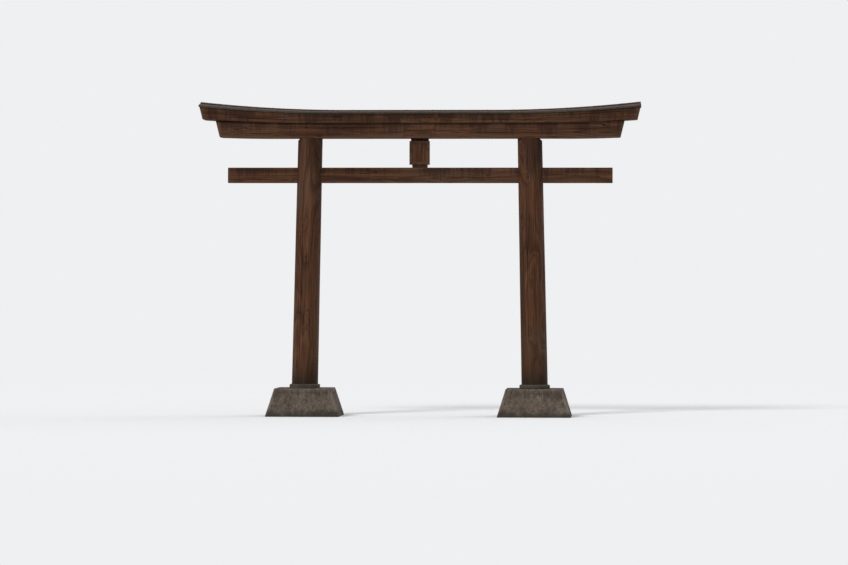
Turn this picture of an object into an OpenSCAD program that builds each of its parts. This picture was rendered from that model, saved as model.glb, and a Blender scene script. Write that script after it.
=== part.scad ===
// Torii gate of heavy timber on two stone plinths.
// Two leaning round pillars carry a straight tie beam and a double lintel
// whose ends sweep upwards. A strut between the beam and the lintel holds
// a plain framed tablet.
// Origin: middle of the ground under the gate. +X along the lintel, +Z up.
// The front, with the tablet, looks towards -Y.

/* [Plinths] */
// Height of a plinth above the ground
plinth_h = 475; // [380:5:560]
// Width of a plinth at its top
plinth_top_w = 960; // [800:10:1100]
// Width of a plinth at the ground
plinth_base_w = 1250; // [1150:10:1500]
// Bevel along the top edges of a plinth
plinth_arris = 16; // [6:1:30]

/* [Pillars] */
// Distance between the pillar centres on the plinths
pillar_span = 3910; // [3500:10:4300]
// Height from the plinths to the underside of the lintel
pillar_h = 4240; // [4150:10:4600]
// Diameter of a pillar at its foot
foot_d = 448; // [400:2:500]
// Diameter of a pillar at its head
head_d = 418; // [370:2:440]
// Inward lean of the pillars in degrees
pillar_lean = 1.2; // [0.4:0.1:2.4]
// Width of the bevel on the outer side of a pillar head
head_bevel_w = 50; // [20:2:70]
// Height of the same bevel
head_bevel_h = 42; // [20:2:70]
// Diameter of the round tenon under a pillar
foot_tenon_d = 190; // [140:5:240]
// Length of the round tenon under a pillar
foot_tenon_h = 120; // [80:5:180]
// Width and depth of the square tenon on a pillar head
head_tenon_w = 150; // [100:5:190]
// Height of the square tenon on a pillar head
head_tenon_h = 110; // [70:5:140]

/* [Foot rings] */
// How far a foot ring stands out from its pillar
ring_out = 38; // [24:1:60]
// Height of a foot ring
ring_h = 68; // [44:1:110]
// Radius of the rounded shoulder of a foot ring
ring_round = 22; // [10:1:23]

/* [Tie beam] */
// Length of the tie beam
tie_len = 6540; // [5600:20:7000]
// Height of the tie beam
tie_h = 262; // [220:2:290]
// Thickness of the tie beam
tie_t = 150; // [110:2:190]
// Bevel along the edges of the tie beam
tie_arris = 8; // [3:1:14]

/* [Lintel curve] */
// Radius of the upward sweep of the lintel ends
camber_r = 23100; // [18000:100:40000]
// Half-length of the straight part along the ridge
ridge_straight = 1224; // [900:4:1500]
// Half-length of the straight part along the eaves
eave_straight = 1430; // [1200:10:1700]
// Half-length of the straight part between the two lintels
seat_straight = 2040; // [1800:10:2300]
// Half-length of the straight part under the lower lintel
under_straight = 2515; // [2200:5:2700]
// Number of steps along each swept end
sweep_steps = 12; // [8:1:16]

/* [Lower lintel] */
// Height of the lower lintel at its middle
low_h = 259; // [220:1:300]
// Thickness of the lower lintel
low_t = 360; // [300:5:400]
// Half-length of the lower lintel along its underside
low_foot_half = 3401; // [3200:1:3450]
// Lean of the end faces of the lower lintel in degrees
low_end_lean = 14; // [6:0.5:18]
// Length of the halving where the two lengths of the lower lintel meet
low_scarf = 520; // [360:10:640]

/* [Top lintel] */
// Height of the top lintel at its eaves, at the middle
top_eave_h = 153; // [130:1:190]
// How far the top lintel's underside reaches past the lower lintel
top_reach = 207; // [150:1:300]
// Lean of the end faces of the top lintel in degrees
top_end_lean = 17; // [8:0.5:22]
// Thickness of the top lintel along its underside
top_foot_t = 450; // [420:5:480]
// Thickness of the top lintel along its eaves
top_eave_t = 516; // [490:2:540]
// Length of the halving where the two lengths of the top lintel meet
top_scarf = 640; // [400:10:800]

/* [Cap] */
// Thickness of the cap boards
cap_t = 28; // [18:1:40]
// How far the cap stands out from the top lintel, front and back
cap_out = 16; // [8:1:30]
// Height of the cap's ridge above its eaves, at the middle
cap_rise = 34; // [20:1:70]
// How far the cap's ridge stops short of its eaves at each end
cap_hip = 8; // [4:1:30]
// How far the cap stands out past the ends of the top lintel
cap_end_out = 10; // [4:1:24]
// Width of the ridge strip over each slope of the cap
ridge_w = 62; // [40:2:90]
// Thickness of the ridge strip
ridge_t = 13; // [8:1:20]

/* [Strut and tablet] */
// Height of the strut between the tie beam and the lintel
strut_h = 495; // [420:5:700]
// Width of the strut at its top
strut_top_w = 302; // [260:2:340]
// Width of the strut at its foot
strut_foot_w = 256; // [220:2:290]
// Thickness of the strut
strut_t = 146; // [110:2:180]
// Width of the tenon at each end of the strut
strut_tenon_w = 130; // [90:2:180]
// Thickness of the same tenons
strut_tenon_t = 70; // [40:2:90]
// Length of the same tenons
strut_tenon_h = 60; // [30:5:90]
// Width of the tablet over its frame
tablet_w = 345; // [310:5:400]
// Gap over and under the tablet
tablet_gap = 46; // [34:1:70]
// Thickness of the tablet's frame
frame_t = 50; // [36:2:60]
// Width of the frame's rails and stiles
frame_w = 44; // [34:2:56]
// Depth that the panel stands behind the front of the frame
panel_back = 18; // [10:1:24]
// Thickness of the panel
panel_t = 16; // [10:1:20]
// Depth of the groove that holds the panel
groove = 10; // [6:1:16]
// Width of an iron hook or lug
iron_w = 32; // [20:1:44]
// Thickness of an iron hook or lug
iron_t = 6; // [4:0.5:9]
// Distance of a hook or lug from the middle of the tablet
iron_x = 66; // [40:2:90]
// Gap between the leg of a hook or lug and the beam next to it
iron_clear = 16; // [6:1:20]
// Length of the lip that a hook or lug turns over the frame
iron_lip = 24; // [12:1:34]

/* [Fits] */
// Clearance round tenons and in mortises
joint_gap = 1.5; // [1:0.5:4]
// Clearance between a pillar and its foot ring
ring_gap = 0.5; // [0.3:0.1:0.9]
// Bedding gap under pieces that lie on a swept surface
bed_gap = 0.6; // [0.4:0.1:0.9]

/* [Hidden] */
$fn = 96;

timber = "#4b2f21";
old_timber = "#5a3a29";
stone = "#6f675e";
ring_stone = "#5b534b";
copper = "#3b2b22";
iron = "#2a2624";

// A solid that cuts reaches this far past what it cuts
past = 50;

// Heights of the main levels above the ground
under_z = plinth_h + pillar_h;
seat_z = under_z + low_h;
strut_z = under_z - strut_h;
tie_z = strut_z - tie_h;
eave_z = seat_z + top_eave_h + cap_t + bed_gap;
ridge_z = eave_z + cap_rise;

// Places of the pillars, the cap and the tablet
foot_x = pillar_span / 2;
head_x = foot_x - pillar_h * tan(pillar_lean);
tablet_z = strut_z + tablet_gap;
tablet_h = strut_h - 2 * tablet_gap;
tablet_back = -strut_t / 2;
panel_y = tablet_back - frame_t + panel_back;
opening_w = tablet_w - 2 * frame_w;
opening_h = tablet_h - 2 * frame_w;
iron_leg = tablet_gap - iron_clear;

// Half-lengths of the lintels and the cap, each from the one below it
low_top_half = end_x(low_foot_half, low_end_lean, under_at(low_foot_half), seat_at(low_foot_half));
top_foot_half = low_top_half + top_reach;
top_eave_half = end_x(
    top_foot_half, top_end_lean, seat_at(top_foot_half), eave_at(top_foot_half) - cap_t
);
cap_eave_half = top_eave_half + cap_end_out;
cap_ridge_half = cap_eave_half - cap_hip;
cap_half_t = top_eave_t / 2 + cap_out;

// Rise of the swept ends: none along the straight part, then one arc
function rise(x, straight) =
    let (d = max(0, abs(x) - straight))
    camber_r - sqrt(camber_r * camber_r - d * d);

// Heights of the swept surfaces at a distance x from the middle
function under_at(x) = under_z + rise(x, under_straight);
function seat_at(x) = seat_z + rise(x, seat_straight);
function ridge_at(x) = ridge_z + rise(x, ridge_straight);
function eave_at(x) = eave_z + rise(x, eave_straight);
function roof_at(x, y) =
    let (s = abs(y) / cap_half_t)
    ridge_at(x) * (1 - s) + eave_at(x) * s;

// Where an end face that leans outwards stands at a height z
function end_x(foot, lean, z0, z) = foot + (z - z0) * tan(lean);

// Distances from the middle at which a swept piece gets a section
function stations(from, to) =
    [for (i = [0 : sweep_steps]) from + (to - from) * i / sweep_steps];

// Sections for one rail: the inner ones are shared, the last has its own end
function rail_x(i, shared, end) = i < sweep_steps ? shared[i] : end;

// Two triangles for one side of a loft. The diagonal runs outwards from the
// point nearer the ridge, so that both faces of a thin board split alike.
function side_pair(sections, i, j, n) =
    let (
        k = (j + 1) % n,
        p = sections[i][j],
        q = sections[i][k],
        rightwards = p[0] + sections[i + 1][j][0] > 0,
        a = i * n + j,
        b = i * n + k,
        c = a + n,
        d = b + n
    )
    (abs(p[1]) <= abs(q[1])) == rightwards
        ? [[a, b, d], [a, d, c]]
        : [[a, b, c], [b, d, c]];

// One closed solid through a list of sections with equal numbers of points
module loft(sections, ends) {
    n = len(sections[0]);
    last = (len(sections) - 1) * n;
    points = [for (s = sections) for (p = s) p];
    sides = [
        for (i = [0 : len(sections) - 2]) for (j = [0 : n - 1])
            each side_pair(sections, i, j, n)
    ];
    near = [for (f = ends) [for (k = [len(f) - 1 : -1 : 0]) f[k]]];
    far = [for (f = ends) [for (k = f) k + last]];
    polyhedron(points, concat(sides, near, far), convexity = 4);
}

// Puts a piece made for the right-hand side on the left or the right
module on_side(side) {
    if (side < 0) mirror([1, 0, 0]) children();
    else children();
}

// A tapered stone block with bevelled top edges
module plinth() {
    half_top = plinth_top_w / 2;
    half_base = plinth_base_w / 2;
    slope = (half_base - half_top) / plinth_h;
    half_arris = half_top + plinth_arris * slope;
    levels = [
        [half_base, 0],
        [half_arris, plinth_h - plinth_arris],
        [half_top - plinth_arris, plinth_h]
    ];
    squares = [
        for (l = levels)
            [[-l[0], -l[0], l[1]], [-l[0], l[0], l[1]], [l[0], l[0], l[1]], [l[0], -l[0], l[1]]]
    ];
    translate([foot_x, 0, 0])
        difference() {
            loft(squares, [[0, 1, 2, 3]]);
            translate([0, 0, plinth_h - foot_tenon_h - joint_gap])
                cylinder(d = foot_tenon_d + 2 * joint_gap, h = foot_tenon_h + past);
        }
}

// The leaning, tapering trunk, longer than the pillar at both ends
module trunk(extra) {
    taper = (foot_d - head_d) / pillar_h;
    translate([foot_x, 0, plinth_h])
        rotate([0, -pillar_lean, 0])
            translate([0, 0, -past])
                cylinder(
                    d1 = foot_d + taper * past + 2 * extra,
                    d2 = head_d - taper * past + 2 * extra,
                    h = pillar_h + 2 * past
                );
}

// The cut that bevels the outer side of a pillar head
module head_bevel() {
    slant = atan2(head_bevel_h, head_bevel_w);
    translate([head_x + head_d / 2 - head_bevel_w, 0, under_z])
        rotate([0, slant, 0])
            translate([0, -head_d, 0])
                cube([head_d, 2 * head_d, head_d]);
}

module pillar() {
    difference() {
        intersection() {
            trunk(0);
            translate([foot_x - foot_d, -foot_d, plinth_h])
                cube([2 * foot_d, 2 * foot_d, pillar_h]);
        }
        head_bevel();
        translate([0, -tie_t / 2 - joint_gap, tie_z])
            cube([pillar_span, tie_t + 2 * joint_gap, tie_h + joint_gap]);
    }
    translate([foot_x, 0, plinth_h - foot_tenon_h])
        cylinder(d = foot_tenon_d, h = foot_tenon_h);
    translate([head_x - head_tenon_w / 2, -head_tenon_w / 2, under_z])
        cube([head_tenon_w, head_tenon_w, head_tenon_h]);
}

// A low ring with a rounded shoulder, bored to the slope of the pillar
module foot_ring() {
    outer = foot_d / 2 + ring_out;
    difference() {
        translate([foot_x, 0, plinth_h])
            rotate_extrude()
                union() {
                    square([outer - ring_round, ring_h]);
                    square([outer, ring_h - ring_round]);
                    translate([outer - ring_round, ring_h - ring_round])
                        circle(r = ring_round);
                }
        trunk(ring_gap);
    }
}

// A beam along X with bevelled edges
module bevelled_beam(length, depth, height, arris) {
    translate([-length / 2, 0, 0])
        rotate([90, 0, 90])
            linear_extrude(length)
                polygon([
                    [-depth / 2 + arris, 0], [depth / 2 - arris, 0],
                    [depth / 2, arris], [depth / 2, height - arris],
                    [depth / 2 - arris, height], [-depth / 2 + arris, height],
                    [-depth / 2, height - arris], [-depth / 2, arris]
                ]);
}

module strut_mortise(z) {
    translate([-strut_tenon_w / 2 - joint_gap, -strut_tenon_t / 2 - joint_gap, z])
        cube([
            strut_tenon_w + 2 * joint_gap,
            strut_tenon_t + 2 * joint_gap,
            strut_tenon_h + joint_gap + past
        ]);
}

module tie_beam() {
    color(timber)
        difference() {
            translate([0, 0, tie_z])
                bevelled_beam(tie_len, tie_t, tie_h, tie_arris);
            strut_mortise(strut_z - strut_tenon_h - joint_gap);
        }
}

// The halving: what the left length keeps of a lintel between two heights
module scarf_keep_left(length, from_z, to_z) {
    mid = (from_z + to_z) / 2;
    far_x = cap_eave_half + past;
    far_z = ridge_at(cap_eave_half) + past;
    rotate([90, 0, 0])
        linear_extrude(top_eave_t + 2 * past, center = true)
            polygon([
                [-far_x, from_z - past], [-length / 2, from_z - past],
                [-length / 2, mid], [length / 2, mid],
                [length / 2, far_z], [-far_x, far_z]
            ]);
}

function low_section(i, side, shared) =
    let (
        low_x = rail_x(i, shared, low_foot_half),
        high_x = rail_x(i, shared, low_top_half),
        y = low_t / 2
    )
    [
        [side * low_x, -y, under_at(low_x)],
        [side * high_x, -y, seat_at(high_x)],
        [side * high_x, y, seat_at(high_x)],
        [side * low_x, y, under_at(low_x)]
    ];

module low_beam() {
    shared = stations(seat_straight, low_foot_half);
    loft(
        concat(
            [for (i = [sweep_steps : -1 : 0]) low_section(i, -1, shared)],
            [for (i = [0 : sweep_steps]) low_section(i, 1, shared)]
        ),
        [[0, 1, 2, 3]]
    );
}

module low_beam_cut() {
    difference() {
        low_beam();
        for (side = [-1, 1])
            translate([
                side * head_x - head_tenon_w / 2 - joint_gap,
                -head_tenon_w / 2 - joint_gap,
                under_z - past
            ])
                cube([
                    head_tenon_w + 2 * joint_gap,
                    head_tenon_w + 2 * joint_gap,
                    head_tenon_h + joint_gap + past
                ]);
        strut_mortise(under_z - past);
    }
}

module lower_lintel(side) {
    color(timber)
        if (side < 0)
            intersection() {
                low_beam_cut();
                scarf_keep_left(low_scarf, under_z, seat_z);
            }
        else
            difference() {
                low_beam_cut();
                scarf_keep_left(low_scarf, under_z, seat_z);
            }
}

function top_section(i, side, shared) =
    let (
        foot_x_end = rail_x(i, shared, top_foot_half),
        eave_x_end = rail_x(i, shared, top_eave_half),
        ridge_x_end = rail_x(i, shared, cap_ridge_half - cap_end_out),
        down = cap_t + bed_gap,
        foot_y = top_foot_t / 2,
        eave_y = top_eave_t / 2
    )
    [
        [side * foot_x_end, -foot_y, seat_at(foot_x_end) + bed_gap],
        [side * eave_x_end, -eave_y, roof_at(eave_x_end, eave_y) - down],
        [side * ridge_x_end, 0, ridge_at(ridge_x_end) - down],
        [side * eave_x_end, eave_y, roof_at(eave_x_end, eave_y) - down],
        [side * foot_x_end, foot_y, seat_at(foot_x_end) + bed_gap]
    ];

module top_beam() {
    shared = stations(ridge_straight, top_foot_half);
    loft(
        concat(
            [for (i = [sweep_steps : -1 : 0]) top_section(i, -1, shared)],
            [for (i = [0 : sweep_steps]) top_section(i, 1, shared)]
        ),
        [[0, 1, 2], [0, 2, 4], [2, 3, 4]]
    );
}

module top_lintel(side) {
    color(timber)
        if (side < 0)
            intersection() {
                top_beam();
                scarf_keep_left(top_scarf, seat_z, eave_z);
            }
        else
            difference() {
                top_beam();
                scarf_keep_left(top_scarf, seat_z, eave_z);
            }
}

// One slope of the cap from the middle to the right-hand end, on the front
function cap_section(ridge_x, eave_x) =
    [
        [eave_x, -cap_half_t, eave_at(eave_x)],
        [ridge_x, 0, ridge_at(ridge_x)],
        [ridge_x, 0, ridge_at(ridge_x) - cap_t],
        [eave_x, -cap_half_t, eave_at(eave_x) - cap_t]
    ];

module cap_slope() {
    shared = stations(ridge_straight, top_foot_half);
    loft(
        concat(
            [cap_section(0, 0)],
            [
                for (i = [0 : sweep_steps])
                    cap_section(rail_x(i, shared, cap_ridge_half), rail_x(i, shared, cap_eave_half))
            ]
        ),
        [[0, 1, 2, 3]]
    );
}

module cap_board(side, face) {
    color(copper)
        on_side(side)
            if (face > 0) mirror([0, 1, 0]) cap_slope();
            else cap_slope();
}

// The folded strip over the ridge, from the middle to the right-hand end
function strip_section(x) =
    let (low = roof_at(x, ridge_w) + bed_gap, high = ridge_at(x) + bed_gap)
    [
        [x, -ridge_w, low], [x, -ridge_w, low + ridge_t], [x, 0, high + ridge_t],
        [x, ridge_w, low + ridge_t], [x, ridge_w, low], [x, 0, high]
    ];

module ridge_strip(side) {
    shared = stations(ridge_straight, cap_ridge_half);
    color(copper)
        on_side(side)
            loft(
                concat([strip_section(0)], [for (x = shared) strip_section(x)]),
                [[0, 1, 2, 5], [2, 3, 4, 5]]
            );
}

// The strut widens towards the lintel and has a tenon at each end
module strut() {
    color(old_timber) {
        translate([0, strut_t / 2, strut_z])
            rotate([90, 0, 0])
                linear_extrude(strut_t)
                    polygon([
                        [-strut_foot_w / 2, 0], [strut_foot_w / 2, 0],
                        [strut_top_w / 2, strut_h], [-strut_top_w / 2, strut_h]
                    ]);
        translate([-strut_tenon_w / 2, -strut_tenon_t / 2, strut_z - strut_tenon_h])
            cube([strut_tenon_w, strut_tenon_t, strut_h + 2 * strut_tenon_h]);
    }
}

module tablet_panel() {
    color(old_timber)
        translate([
            -opening_w / 2 - groove,
            panel_y,
            tablet_z + frame_w - groove
        ])
            cube([opening_w + 2 * groove, panel_t, opening_h + 2 * groove]);
}

// The groove in the frame, a little thicker and wider than the panel
module panel_groove() {
    translate([
        -opening_w / 2 - groove - joint_gap,
        panel_y - joint_gap,
        tablet_z + frame_w - groove
    ])
        cube([
            opening_w + 2 * groove + 2 * joint_gap,
            panel_t + 2 * joint_gap,
            opening_h + 2 * groove + joint_gap
        ]);
}

module tablet_rail(z) {
    color(timber)
        difference() {
            translate([-tablet_w / 2, tablet_back - frame_t, z])
                cube([tablet_w, frame_t, frame_w]);
            panel_groove();
        }
}

module tablet_stile(side) {
    color(timber)
        on_side(side)
            difference() {
                translate([opening_w / 2, tablet_back - frame_t, tablet_z + frame_w])
                    cube([frame_w, frame_t, opening_h]);
                panel_groove();
            }
}

// A bent iron: a leg on the strut, an arm across the frame and a lip over it
module bent_iron() {
    rotate([90, 0, 90])
        linear_extrude(iron_w, center = true)
            polygon([
                [0, 0], [0, iron_leg],
                [-iron_t, iron_leg], [-iron_t, iron_t],
                [-frame_t - iron_t, iron_t], [-frame_t - iron_t, -iron_lip],
                [-frame_t, -iron_lip], [-frame_t, 0]
            ]);
}

module tablet_hook(side) {
    color(iron)
        translate([side * iron_x, tablet_back, tablet_z + tablet_h])
            bent_iron();
}

module tablet_lug(side) {
    color(iron)
        translate([side * iron_x, tablet_back, tablet_z])
            mirror([0, 0, 1]) bent_iron();
}

color(stone) on_side(-1) plinth();  // left_plinth
color(stone) on_side(1) plinth();  // right_plinth
color(ring_stone) on_side(-1) foot_ring();  // left_foot_ring
color(ring_stone) on_side(1) foot_ring();  // right_foot_ring
color(timber) on_side(-1) pillar();  // left_pillar
color(timber) on_side(1) pillar();  // right_pillar
tie_beam();
lower_lintel(-1);  // lower_lintel_left
lower_lintel(1);  // lower_lintel_right
top_lintel(-1);  // top_lintel_left
top_lintel(1);  // top_lintel_right
cap_board(-1, -1);  // cap_front_left
cap_board(1, -1);  // cap_front_right
cap_board(-1, 1);  // cap_back_left
cap_board(1, 1);  // cap_back_right
ridge_strip(-1);  // ridge_left
ridge_strip(1);  // ridge_right
strut();
tablet_panel();
tablet_rail(tablet_z + tablet_h - frame_w);  // tablet_head
tablet_rail(tablet_z);  // tablet_sill
tablet_stile(-1);  // tablet_left_stile
tablet_stile(1);  // tablet_right_stile
tablet_hook(-1);  // tablet_left_hook
tablet_hook(1);  // tablet_right_hook
tablet_lug(-1);  // tablet_left_lug
tablet_lug(1);  // tablet_right_lug
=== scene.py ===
"""Looks of a torii gate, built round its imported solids.

Every piece stands in the frame of the solids: metres, +X along the lintel,
the tablet towards -Y, +Z up, and the ground at 0.
"""

import logging
import math
from collections.abc import Callable, Iterable, Sequence
from dataclasses import dataclass
from enum import Enum
from functools import cached_property
from itertools import product

import bmesh
import bpy
from mathutils import Matrix, Vector, noise


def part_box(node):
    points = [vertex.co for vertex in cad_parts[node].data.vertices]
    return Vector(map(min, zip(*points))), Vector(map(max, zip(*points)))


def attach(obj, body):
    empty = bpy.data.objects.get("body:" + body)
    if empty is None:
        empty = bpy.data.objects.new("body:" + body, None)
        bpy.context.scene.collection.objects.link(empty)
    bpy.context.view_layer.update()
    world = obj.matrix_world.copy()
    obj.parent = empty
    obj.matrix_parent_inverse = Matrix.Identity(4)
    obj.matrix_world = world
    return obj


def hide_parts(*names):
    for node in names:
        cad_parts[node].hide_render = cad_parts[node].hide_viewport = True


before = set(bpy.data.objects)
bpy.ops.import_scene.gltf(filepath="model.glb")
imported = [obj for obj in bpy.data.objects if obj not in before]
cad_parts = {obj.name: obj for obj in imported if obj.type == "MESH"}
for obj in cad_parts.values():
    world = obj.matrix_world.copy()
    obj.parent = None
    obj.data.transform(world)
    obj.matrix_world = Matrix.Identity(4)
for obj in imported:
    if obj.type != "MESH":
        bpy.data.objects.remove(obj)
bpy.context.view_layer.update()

LOG = logging.getLogger("torii")
PHOTO_WIDTH = 848
BODY = "root"
# In metres: how near a point is to a plane it is on, and to a point it is one with
TINY = 1e-6
NEAR = 1e-5

Mesh = bmesh.types.BMesh
Material = bpy.types.Material
Colour = tuple[float, float, float]
Rule = Callable[[Vector], float]


class Half(Enum):
    """One of two opposite halves of the gate."""

    @property
    def word(self) -> str:
        """The half's name as the solids' nodes spell it."""
        return self.name.lower()


class Side(Half):
    """The two sides of the gate, with the sign of their x."""

    LEFT = -1
    RIGHT = 1


class Face(Half):
    """The two long faces of the gate, with the sign of their y."""

    FRONT = -1
    BACK = 1


class Grain(Enum):
    """Which way the fibres of a timber run: its axes by number, fibres first."""

    LENGTHWISE = (0, 1, 2)
    UPRIGHT = (2, 0, 1)


class Slot(Enum):
    """Material slots of the record."""

    PLINTH = "plinth_stone"
    RING = "ring_stone"
    PILLAR = "pillar_timber"
    BEAM = "beam_timber"
    TABLET = "tablet_timber"
    CAP = "cap_copper"
    IRON = "black_iron"


def clamp(value: float) -> float:
    """A number held between 0 and 1."""
    return min(1.0, max(0.0, value))


def ripple(place: Vector) -> float:
    """Soft noise from 0 to 1."""
    return 0.5 + 0.5 * noise.noise(place)


def shade(colour: Colour, factor: float) -> Colour:
    """A colour made darker or lighter."""
    return tuple(channel * factor for channel in colour)


@dataclass(frozen=True)
class GateShape:
    """Levels, half-lengths and swept curves of the gate, in metres."""

    plinth_top: float
    tie_high: float
    under: float
    seat: float
    eave: float
    low_top_half: float
    top_eave_half: float
    cap_eave_half: float
    cap_hip: float
    foot_x: float = 1.955
    lean: float = math.tan(math.radians(1.2))
    camber_radius: float = 23.1
    ridge_straight: float = 1.224
    eave_straight: float = 1.430
    seat_straight: float = 2.040
    under_straight: float = 2.515
    cap_thickness: float = 0.028
    cap_rise: float = 0.034
    cap_half_depth: float = 0.274
    bed_gap: float = 0.0006

    @classmethod
    def read(cls) -> "GateShape":
        """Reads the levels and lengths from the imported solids.

        Returns:
            The shape that every piece is fitted to.
        """
        cap_low, cap_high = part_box("cap_front_right")
        low_foot, low_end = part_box("lower_lintel_right")
        top_foot, top_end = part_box("top_lintel_right")
        return cls(
            plinth_top=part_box("left_plinth")[1].z,
            tie_high=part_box("tie_beam")[1].z,
            under=low_foot.z,
            seat=top_foot.z - cls.bed_gap,
            eave=cap_low.z + cls.cap_thickness,
            low_top_half=low_end.x,
            top_eave_half=top_end.x,
            cap_eave_half=cap_high.x,
            cap_hip=cap_high.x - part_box("ridge_right")[1].x,
        )

    def rise(self, x: float, straight: float) -> float:
        """How far a swept line has risen at a distance from the middle."""
        beyond = max(0.0, abs(x) - straight)
        return self.camber_radius - math.sqrt(self.camber_radius**2 - beyond**2)

    def under_at(self, x: float) -> float:
        """Height of the lower lintel's underside."""
        return self.under + self.rise(x, self.under_straight)

    def seat_at(self, x: float) -> float:
        """Height of the joint between the two lintels."""
        return self.seat + self.rise(x, self.seat_straight)

    def eave_at(self, x: float) -> float:
        """Height of the cap's eaves."""
        return self.eave + self.rise(x, self.eave_straight)

    def ridge_at(self, x: float) -> float:
        """Height of the cap's ridge."""
        return self.eave + self.cap_rise + self.rise(x, self.ridge_straight)

    def roof_at(self, x: float, y: float) -> float:
        """Height of the cap's slope over a point."""
        share = abs(y) / self.cap_half_depth
        return self.ridge_at(x) * (1 - share) + self.eave_at(x) * share


@dataclass(frozen=True)
class Flow:
    """A number, vector or colour on its way through a recipe. Plus, minus and times work on numbers."""

    recipe: "Recipe"
    socket: bpy.types.NodeSocket

    def __add__(self, other: "Feed") -> "Flow":
        """The sum of two numbers."""
        return self.recipe.maths("ADD", self, other)

    def __sub__(self, other: "Feed") -> "Flow":
        """The difference between two numbers."""
        return self.recipe.maths("SUBTRACT", self, other)

    def __mul__(self, other: "Feed") -> "Flow":
        """The product of two numbers."""
        return self.recipe.maths("MULTIPLY", self, other)


Feed = Flow | float | Colour


class Recipe:
    """Writes the nodes of one material or world, a call to a node."""

    def __init__(self, owner: Material | bpy.types.World) -> None:
        """Starts an empty recipe.

        Args:
            owner: What the nodes are for.
        """
        owner.use_nodes = True
        self.owner = owner
        self.tree = owner.node_tree
        self.tree.nodes.clear()

    @cached_property
    def place(self) -> Flow:
        """The point on the piece, in metres."""
        return self.flow("TexCoord", output="Object")

    def node(self, kind: str, feeds: dict | None = None, **settings: object) -> bpy.types.Node:
        """Adds a node.

        Args:
            kind: Blender's name for the node's type, without its first word.
            feeds: Inputs by name or number: a value, or what flows into it.
            settings: The node's own properties.

        Returns:
            The new node.
        """
        made = self.tree.nodes.new(f"ShaderNode{kind}")
        for name, value in settings.items():
            setattr(made, name, value)
        for key, feed in (feeds or {}).items():
            socket = made.inputs[key]
            if isinstance(feed, Flow):
                self.tree.links.new(feed.socket, socket)
            else:
                socket.default_value = (*feed, 1.0) if socket.type == "RGBA" else feed
        return made

    def flow(self, kind: str, feeds: dict | None = None, output: int | str = 0, **settings: object) -> Flow:
        """Adds a node and follows one of its outputs."""
        return Flow(self, self.node(kind, feeds, **settings).outputs[output])

    def maths(self, operation: str, first: Feed, second: Feed = 0.0) -> Flow:
        """One step of arithmetic on numbers."""
        return self.flow("Math", {0: first, 1: second}, operation=operation)

    def vectors(self, operation: str, first: Feed, second: Feed) -> Flow:
        """One step of arithmetic on vectors."""
        return self.flow("VectorMath", {0: first, 1: second}, operation=operation)

    def length(self, vector: Feed) -> Flow:
        """How long a vector is."""
        return self.flow("VectorMath", {0: vector}, "Value", operation="LENGTH")

    def axes(self, vector: Feed) -> list[Flow]:
        """The three numbers of a vector."""
        return [Flow(self, output) for output in self.node("SeparateXYZ", {0: vector}).outputs]

    def mark(self, name: str) -> Flow:
        """A number that the mesh carries at its points."""
        return self.flow("Attribute", output="Fac", attribute_name=name)

    def scaled(self, vector: Feed, scale: Sequence[float], shift: float = 0.0) -> Flow:
        """A vector stretched by axis and shifted: where a pattern is read."""
        feeds = {"Vector": vector, "Scale": scale, "Location": (shift, shift * 0.7, shift * 1.3)}
        return self.flow("Mapping", feeds)

    def cloud(
        self, vector: Feed, scale: Sequence[float], shift: float = 0.0,
        detail: float = 3.0, rough: float = 0.55, output: str = "Fac",
    ) -> Flow:
        """Soft noise from 0 to 1, as fine as its scale, from the part of the noise that shift names."""
        feeds = {"Vector": self.scaled(vector, scale, shift), "Detail": detail, "Roughness": rough}
        return self.flow("TexNoise", feeds | {"Scale": 1.0}, output)

    def cells(self, vector: Feed, scale: float, output: str = "Distance") -> Flow:
        """Scattered cells: the distance to the nearest middle, or a colour for each cell."""
        return self.flow("TexVoronoi", {"Vector": vector, "Scale": scale}, output)

    def span(self, value: Feed, low: float, high: float, start: float = 0.0, end: float = 1.0) -> Flow:
        """Maps a stretch of values smoothly to another, and holds it past both ends."""
        feeds = {"Value": value, 1: low, 2: high, 3: start, 4: end}
        return self.flow("MapRange", feeds, interpolation_type="SMOOTHSTEP")

    def layers(self, base: Feed, *coats: tuple[Feed, Feed]) -> Flow:
        """Lays colours over each other in turn.

        Args:
            base: The colour below all.
            coats: How much of each coat shows, and its colour.

        Returns:
            The mixed colour.
        """
        for share, over in coats:
            base = self.flow("Mix", {0: share, 6: base, 7: over}, 2, data_type="RGBA")
        return base

    def shine(self, colour: Feed, rough: Feed, height: Feed, relief: float, **fixed: float) -> Material:
        """Ends the material in one shader.

        Args:
            colour: Its colour.
            rough: Its roughness.
            height: Height of its fine relief, from 0 to 1.
            relief: What a height of 1 is in metres.
            fixed: Numbers set on the shader's own sockets, by name.

        Returns:
            The finished material.
        """
        bump = self.flow("Bump", {"Strength": 1.0, "Distance": relief, "Height": height})
        feeds = {"Base Color": colour, "Roughness": rough, "Normal": bump}
        feeds |= {name.replace("_", " "): value for name, value in fixed.items()}
        self.node("OutputMaterial", {"Surface": self.flow("BsdfPrincipled", feeds)})
        return self.owner


@dataclass(frozen=True)
class Figure:
    """What shows in a timber's surface, each pattern as a number from 0 to 1."""

    rings: Flow
    latewood: Flow
    fibre: Flow
    streak: Flow
    patch: Flow
    split: Flow
    knot: Flow


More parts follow.
